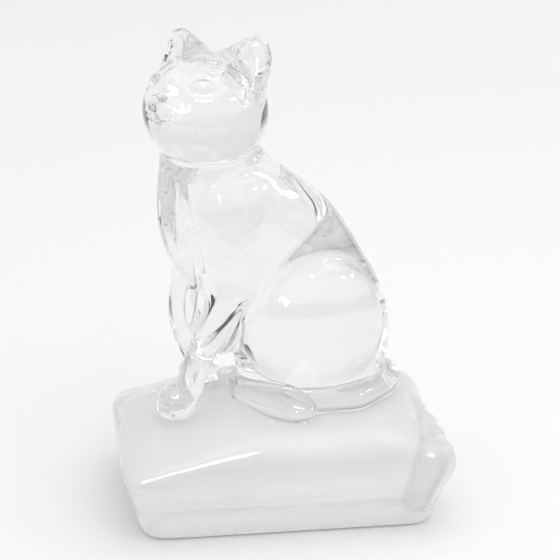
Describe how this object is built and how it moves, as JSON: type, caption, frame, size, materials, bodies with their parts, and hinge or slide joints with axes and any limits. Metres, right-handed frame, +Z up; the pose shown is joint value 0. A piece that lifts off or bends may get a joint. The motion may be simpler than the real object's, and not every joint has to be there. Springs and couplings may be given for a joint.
{
  "type": "crystal figurine",
  "caption": "Clear pressed crystal cat sitting on a thick cushion-shaped block, head turned over its shoulder, tail laid round its haunch.",
  "frame": {"origin": "centre of the whole figurine's box at its lowest level, the ground underside of the cushion", "axes": "+Z up; +X along the cushion's long side, away from the cat's chest, so the cat's body faces -X; -Y is the cat's left side, the side its head is turned to"},
  "size_m": [0.0915, 0.061, 0.1363],
  "materials": {
    "cushion_crystal": "fire-polished clear pressed crystal, thick block reads a very pale cool grey",
    "cat_crystal": "fire-polished clear pressed crystal, water clear"
  },
  "bodies": {
    "root": {"cushion_base": "cushion_crystal", "torso": "cat_crystal", "head": "cat_crystal", "left_ear": "cat_crystal", "right_ear": "cat_crystal", "left_foreleg": "cat_crystal", "right_foreleg": "cat_crystal", "left_forepaw": "cat_crystal", "right_forepaw": "cat_crystal", "left_haunch": "cat_crystal", "right_haunch": "cat_crystal", "left_hind_paw": "cat_crystal", "right_hind_paw": "cat_crystal", "tail": "cat_crystal"}
  },
  "joints": []
}
